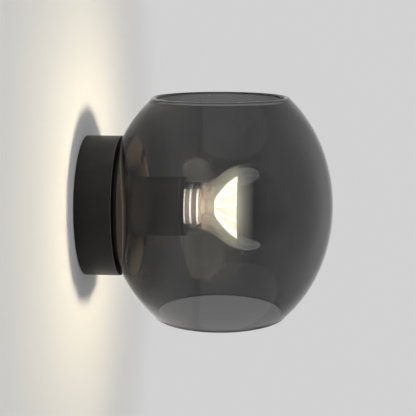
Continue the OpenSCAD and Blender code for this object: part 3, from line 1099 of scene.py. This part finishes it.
@dataclass
class GlassGlobe(SubAssembly):
    """Smoked glass globe, open above and below, with a bored side mouth."""

    full_half_height: float = 97.2 * MM
    inner_half_height: float = 94.9 * MM
    wall: float = 3.2 * MM
    bead: float = 1.2 * MM
    bead_steps: int = 8
    mouth_radius: float = 50.6 * MM
    mouth_slack: float = 0.05 * MM
    mouth_tilt: float = 0.1
    bore_start: float = 5.0 * MM
    rings: int = 64
    steps: int = 192
    edge_angle: float = 28.0

    def build(self) -> None:
        """Blow, cut and bore the globe."""
        low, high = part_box("glass_shade")
        radius = high.x
        centre = -low.y - radius
        globe = turned("globe_glass", self.profile(radius, high.z), Axis.UPRIGHT, centre, self.steps,
                       closed=True)
        cut(globe, self.boring_bar(centre))
        only(globe)
        edit_all()
        bpy.ops.mesh.remove_doubles(threshold=ON_PLANE)
        bpy.ops.object.mode_set(mode="OBJECT")
        self.add(smooth(globe, self.edge_angle), "shade", "smoked_glass", "glass_shade")
        # The bored mouth's faces take the ground edge finish, with its painted glow
        globe.data.materials.append(self.finishes.by_name["ground_edge"])
        for face in globe.data.polygons:
            reach = math.hypot(face.center.x, face.center.z)
            if abs(reach - self.mouth_radius) < self.mouth_slack and abs(face.normal.y) < self.mouth_tilt:
                face.material_index = 1

    def profile(self, radius: float, half_height: float) -> Profile:
        """Return the closed outline of the glass wall.

        Args:
            radius: largest outer radius.
            half_height: height of the rim above the middle.

        Returns:
            Points of radius and height.
        """
        straight = half_height - self.bead

        def outer(z: float) -> float:
            """Return the outer radius at a height."""
            return radius * math.sqrt(1 - (z / self.full_half_height) ** 2)

        def inner(z: float) -> float:
            """Return the inner radius at a height."""
            return (radius - self.wall) * math.sqrt(1 - (z / self.inner_half_height) ** 2)

        middle = (outer(straight) + inner(straight)) / 2
        half = (outer(straight) - inner(straight)) / 2
        heights = spaced(-straight, straight, self.rings)
        top = [(middle + half * math.cos(a), straight + self.bead * math.sin(a))
               for a in spaced(0.0, math.pi, self.bead_steps)[1:-1]]
        bottom = [(r, -z) for r, z in reversed(top)]
        return ([(outer(z), z) for z in heights] + top
                + [(inner(z), z) for z in reversed(heights)] + bottom)

    def boring_bar(self, centre: float) -> Piece:
        """Return the cylinder that bores the side mouth.

        Args:
            centre: distance of the globe's upright axis from the wall.

        Returns:
            The cylinder.
        """
        only_nothing()
        depth = centre - 2 * self.bore_start
        bpy.ops.mesh.primitive_cylinder_add(vertices=self.steps, radius=self.mouth_radius, depth=depth,
                                            location=(0, self.bore_start - depth / 2, 0),
                                            rotation=(math.pi / 2, 0, 0))
        return settle(named("boring_bar"))


@dataclass
class CrownLamp(SubAssembly):
    """Crown-mirrored lamp: envelope, mirror, screw cap, stem and glowing rods."""

    neck_radius: float = 17.4 * MM
    neck_end: float = 80.0 * MM
    wall: float = 0.9 * MM
    mirror_skin: float = 0.25 * MM
    mirror_rim: float = 108.4 * MM
    flare_steps: int = 12
    dome_steps: int = 32
    mirror_steps: int = 28
    thread_depth: float = 0.9 * MM
    thread_start: float = 2.4 * MM
    thread_end: float = 1.2 * MM
    thread_stop: float = 1.5 * MM
    thread_fade: float = 0.4 * PITCH
    cap_rings: int = 96
    cap_crest: float = 13.1 * MM
    cap_end: float = 10.2 * MM
    cap_step: float = 0.6 * MM
    cap_wall: float = 0.5 * MM
    foot_start: float = 61.5 * MM
    foot_run: float = 3.2 * MM
    foot: tuple[tuple[float, float], ...] = ((12.6, -1.2), (12.8, 0.0), (14.6, 0.5), (16.6, 1.4))

    def __post_init__(self) -> None:
        """Work out the envelope's round end and flare from the frame."""
        low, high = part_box("mirror_coat")
        self.radius = (high.x - low.x) / 2 - self.mirror_skin
        self.centre = -low.y - self.radius - self.mirror_skin
        run = self.centre - self.neck_end
        self.flare = (run ** 2 / (self.radius - self.neck_radius) - self.radius - self.neck_radius) / 2
        share = self.radius / (self.radius + self.flare)
        meet_radius = share * (self.neck_radius + self.flare)
        meet_place = self.centre - share * run
        self.flare_end = math.acos((meet_place - self.neck_end) / self.flare)
        self.dome_start = math.pi - math.asin(meet_radius / self.radius)
        self.mirror_angle = math.pi / 2 + math.asin((self.centre - self.mirror_rim) / self.radius)

    def build(self) -> None:
        """Make the pieces of the lamp and dress the rest."""
        self.dress_nodes(tinned_copper=("contact_button", "support_wires", "filament_ring"),
                         stem_glass=("glass_stem", "exhaust_tube"), black_glass=("cap_insulator",),
                         phosphor=("filaments",), opal_glass=("glow_bowl",))
        for node in ("filaments", "glow_bowl"):
            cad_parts[node].visible_diffuse = False
        self.add(self.envelope(), "lamp", "clear_glass", "lamp_glass")
        self.add(self.mirror(), "lamp", "silver_mirror", "mirror_coat")
        self.add(self.threaded_cap(), "lamp", "cap_metal", "lamp_cap")

    def dome(self, inset: float, start: float, end: float, count: int) -> Profile:
        """Return points on the round end.

        Args:
            inset: depth below the outer surface.
            start: angle from the tip of the first point.
            end: angle of the last.
            count: steps between them.

        Returns:
            Points of radius and distance from the wall.
        """
        reach = self.radius - inset
        return [(max(0.0, reach * math.sin(a)), self.centre + reach * math.cos(a))
                for a in spaced(start, end, count)]

    def outline(self, inset: float, cap_end: float) -> Profile:
        """Return the envelope's outline from its foot to its tip.

        Args:
            inset: how far it is moved inwards.
            cap_end: distance of the cap's rim from the wall.

        Returns:
            Points of radius and distance from the wall.
        """
        foot = [(radius * MM - inset, cap_end + run * MM) for radius, run in self.foot]
        foot = [(foot[0][0], self.foot_start), *foot, (self.neck_radius - inset, cap_end + self.foot_run)]
        reach = self.flare + inset
        flare = [(self.neck_radius + self.flare - reach * math.sin(a), self.neck_end + reach * math.cos(a))
                 for a in spaced(math.pi / 2, self.flare_end, self.flare_steps)]
        return foot + flare + self.dome(inset, self.dome_start, 0.0, self.dome_steps)[1:]

    def envelope(self) -> Piece:
        """Return the clear glass envelope."""
        cap_low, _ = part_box("lamp_cap")
        outside = self.outline(0.0, -cap_low.y)
        inside = self.outline(self.wall, -cap_low.y)
        return turned("lamp_envelope", outside + inside[::-1], Axis.LAMP, closed=True, degrees=50.0)

    def mirror(self) -> Piece:
        """Return the silvered skin over the crown."""
        inside = self.dome(0.0, self.mirror_angle, 0.0, self.mirror_steps)
        outside = self.dome(-self.mirror_skin, self.mirror_angle, 0.0, self.mirror_steps)
        return turned("crown_mirror", outside + inside[::-1], Axis.LAMP, closed=True)

    def threaded_cap(self) -> Piece:
        """Return the screw cap with its rolled thread."""
        low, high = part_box("lamp_cap")
        far, near = -low.y, -high.y
        start, end, step = near + self.thread_start, far - self.thread_end, self.cap_step
        wall = [(self.cap_crest, d) for d in spaced(start, end, self.cap_rings)]
        outside = [(self.cap_end, near), (self.cap_crest - step, near + 2 * step)] + wall + [(high.x, far)]
        inside = [(r - self.cap_wall, d) for r, d in reversed(wall)]
        profile = outside + [(high.x - step, far)] + inside + [(self.cap_end - step, near + step)]
        cap = turned("rolled_cap", profile, Axis.LAMP, closed=True, steps=THREAD_STEPS, degrees=60.0)
        thread_wave(cap, start, end - self.thread_stop, self.thread_depth, self.thread_fade)
        return cap


# Studio


@dataclass
class Studio:
    """Plain wall and floor, soft light, and the camera at the photograph's angle.

    The backdrop is what the room looks like from afar, the daylight is what it sheds on the sconce, and the
    window side is what glass mirrors when it looks away from the wall.
    """

    target: Vector = field(default_factory=lambda: Vector((0.0, -86.5, -0.9)) * MM)
    distance: float = 714.5 * MM
    yaw: float = 0.0789
    pitch: float = 0.1912
    focal_pixels: float = 1002.25
    image_pixels: float = 416.0
    sensor: float = 36.0
    clip: Span = (0.01, 50.0)
    backdrop: Colour = (0.645, 0.645, 0.645)
    window_side: Colour = (1.08, 1.08, 1.1)
    window_turn: Span = (-0.50, -0.85)
    daylight: Colour = (0.62, 0.62, 0.62)
    wall_half: float = 0.42
    wall_length: float = 16.0
    wall_gap: float = 0.4 * MM
    wall_colour: Colour = (0.845, 0.85, 0.86)
    wall_fade: Span = (0.16, 0.42)
    box_hole: float = 0.046
    floor_size: float = 30.0
    floor_depth: float = 2.0
    floor_colour: Colour = (0.66, 0.66, 0.66)
    floor_fade: Span = (0.5, 2.5)
    glow_distance: float = 0.118
    glow_radius: float = 0.012
    glow_strength: float = 0.88
    glow_colour: Colour = (1.0, 0.86, 0.62)
    mirrored_glow: Colour = (0.44, 0.43, 0.43)
    mirrored_rise: Span = (0.09, 0.15)

    def build(self) -> None:
        """Make the stage, the light and the camera."""
        self.camera()
        self.wall()
        self.floor()
        self.world()
        self.lamps()
        bpy.context.scene.view_settings.view_transform = "Standard"

    def camera(self) -> None:
        """Place the camera that the photograph's edges were fitted with."""
        flat = math.cos(self.pitch)
        forward = Vector((flat * math.cos(self.yaw), flat * math.sin(self.yaw), -math.sin(self.pitch)))
        right = Vector((math.sin(self.yaw), -math.cos(self.yaw), 0.0))
        turn = Matrix((right, right.cross(forward), -forward)).transposed().to_4x4()
        bpy.ops.object.camera_add(location=self.target - forward * self.distance)
        camera = bpy.context.active_object
        camera.name = "photo_camera"
        camera.matrix_world = Matrix.Translation(camera.location) @ turn
        camera.data.sensor_width = self.sensor
        camera.data.lens = self.focal_pixels / self.image_pixels * self.sensor
        camera.data.clip_start, camera.data.clip_end = self.clip
        bpy.context.scene.camera = camera

    def paint(self, name: str, colour: Colour, fade: Span, hole: float = 0.0) -> Canvas:
        """Return a plain paint that can't be seen from behind and that fades into the backdrop.

        Args:
            name: name of the material.
            colour: its colour.
            fade: distances from the sconce where the backdrop begins to take over and where it alone shows.
            hole: distance from the sconce's origin within which the paint is clear.

        Returns:
            The canvas of the material.
        """
        canvas = Canvas(name)
        canvas.set(Base_Color=colour, Roughness=0.9, Specular_IOR_Level=0.1)
        backdrop = canvas.new("ShaderNodeEmission")
        canvas.fill(backdrop, Color=self.backdrop)
        far = canvas.times(canvas.mapped(canvas.reach(), fade, eased=True), canvas.seen())
        faded = canvas.mixed_shaders(far, canvas.shader.outputs[0], backdrop.outputs[0])
        behind = canvas.new("ShaderNodeNewGeometry").outputs["Backfacing"]
        away = canvas.math("MAXIMUM", behind, canvas.math("LESS_THAN", canvas.reach(), hole))
        clear = canvas.new("ShaderNodeBsdfTransparent").outputs[0]
        canvas.fill(canvas.end, Surface=canvas.mixed_shaders(away, faded, clear))
        return canvas

    def wall(self) -> None:
        """Stand the wall that the sconce hangs on, a long board with a round end, seen only from the room."""
        only_nothing()
        bpy.ops.mesh.primitive_circle_add(vertices=96, radius=self.wall_half, fill_type="NGON",
                                          location=(0, self.wall_gap, 0), rotation=(math.pi / 2, 0, 0))
        wall = settle(named("room_wall"))
        edit_all()
        bpy.ops.mesh.bisect(plane_co=(0, 0, 0), plane_no=(1, 0, 0), clear_outer=True)
        bpy.ops.mesh.select_all(action="DESELECT")
        bpy.ops.object.mode_set(mode="OBJECT")
        for edge in wall.data.edges:
            edge.select = all(abs(wall.data.vertices[v].co.x) < ON_PLANE for v in edge.vertices)
        bpy.ops.object.mode_set(mode="EDIT")
        bpy.ops.mesh.select_mode(type="EDGE")
        bpy.ops.mesh.extrude_region_move(TRANSFORM_OT_translate={"value": (self.wall_length, 0, 0)})
        bpy.ops.mesh.select_mode(type="VERT")
        bpy.ops.object.mode_set(mode="OBJECT")
        canvas = self.paint("wall_paint", self.wall_colour, self.wall_fade, self.box_hole)
        self.glow_in_glass(canvas)
        wall.data.materials.append(canvas.material)

    def glow_in_glass(self, canvas: Canvas) -> None:
        """Paint a glow on the wall that only glossy rays see: a painted reflection of the lamp's glow on the
        wall in the glass, outside the canopy's shadow.

        Args:
            canvas: the wall's paint.
        """
        rise = canvas.mapped(canvas.reach(), self.mirrored_rise, eased=True)
        canvas.set(Emission_Color=self.mirrored_glow,
                   Emission_Strength=canvas.times(rise, canvas.ray("Glossy")))

    def floor(self) -> None:
        """Lay a pale floor well below the sconce."""
        only_nothing()
        bpy.ops.mesh.primitive_plane_add(size=self.floor_size,
                                         location=(0, -self.floor_size / 2, -self.floor_depth))
        floor = settle(named("room_floor"))
        floor.data.materials.append(self.paint("floor_paint", self.floor_colour, self.floor_fade).material)
        floor.visible_glossy = False

    def world(self) -> None:
        """Light the room softly from all round."""
        world = bpy.data.worlds.new("soft_room")
        world.use_nodes = True
        nodes = Nodes(world.node_tree)
        light, room = nodes.tree.nodes["Background"], nodes.new("ShaderNodeBackground")
        nodes.fill(light, Color=self.daylight)
        nodes.fill(room, Color=self.room_colour(nodes))
        nodes.fill(nodes.tree.nodes["World Output"],
                   Surface=nodes.mixed_shaders(nodes.seen(), light.outputs[0], room.outputs[0]))
        bpy.context.scene.world = world

    def room_colour(self, nodes: Nodes) -> Socket:
        """Return the backdrop's colour, brighter in reflections that look away from the wall.

        Args:
            nodes: the world's nodes.

        Returns:
            The colour.
        """
        way = nodes.split(nodes.new("ShaderNodeTexCoord").outputs["Generated"])
        away = nodes.mapped(way["Y"], self.window_turn, eased=True)
        return nodes.mixed(nodes.times(away, nodes.ray("Glossy")), self.backdrop, self.window_side)

    def panel(self, name: str, place: tuple[float, float, float], size: float, radiance: float) -> None:
        """Hang a round soft light that faces the sconce.

        Args:
            name: name of the light.
            place: its middle, in metres.
            size: its width.
            radiance: its brightness, where 1 shows as white.
        """
        only_nothing()
        bpy.ops.object.light_add(type="AREA", location=place)
        light = bpy.context.active_object
        light.name = name
        light.data.shape = "DISK"
        light.data.size = size
        area = math.pi * size ** 2 / 4
        light.data.energy = radiance * math.pi * area
        light.rotation_mode = "QUATERNION"
        light.rotation_quaternion = (light.location - self.target).to_track_quat("Z", "Y")

    def lamps(self) -> None:
        """Add the soft panels and the glow that the lit lamp throws on the wall."""
        self.panel("ceiling_panel", (-0.6, -0.4, 2.0), size=3.0, radiance=0.3)
        self.panel("low_panel", (-0.6, -0.4, -1.9), size=3.0, radiance=0.3)
        self.panel("upper_disc", (-0.921, -0.206, 1.284), size=0.94, radiance=0.14)
        self.panel("lower_disc", (-1.247, -0.232, -0.954), size=0.94, radiance=0.14)
        only_nothing()
        bpy.ops.object.light_add(type="POINT", location=(0, -self.glow_distance, 0))
        glow = bpy.context.active_object
        glow.name = "lamp_glow"
        glow.data.energy = self.glow_strength
        glow.data.color = self.glow_colour
        glow.data.shadow_soft_size = self.glow_radius
        glow.visible_glossy = False
        glow.visible_transmission = False
        blockers = bpy.data.collections.new("glow_blockers")
        for node in ("canopy", "carrier", "spacer_core", "holder_sleeve"):
            blockers.objects.link(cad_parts[node])
        glow.light_linking.blocker_collection = blockers


def main() -> None:
    """Build the looks in order."""
    studio = Studio()
    finishes = Finishes(Effects())
    for assembly in (WallFixing(finishes), CanopyAndCarrier(finishes), LampHolder(finishes),
                     GlassGlobe(finishes), CrownLamp(finishes)):
        assembly.build()
    studio.build()


if __name__ == "__main__":
    main()
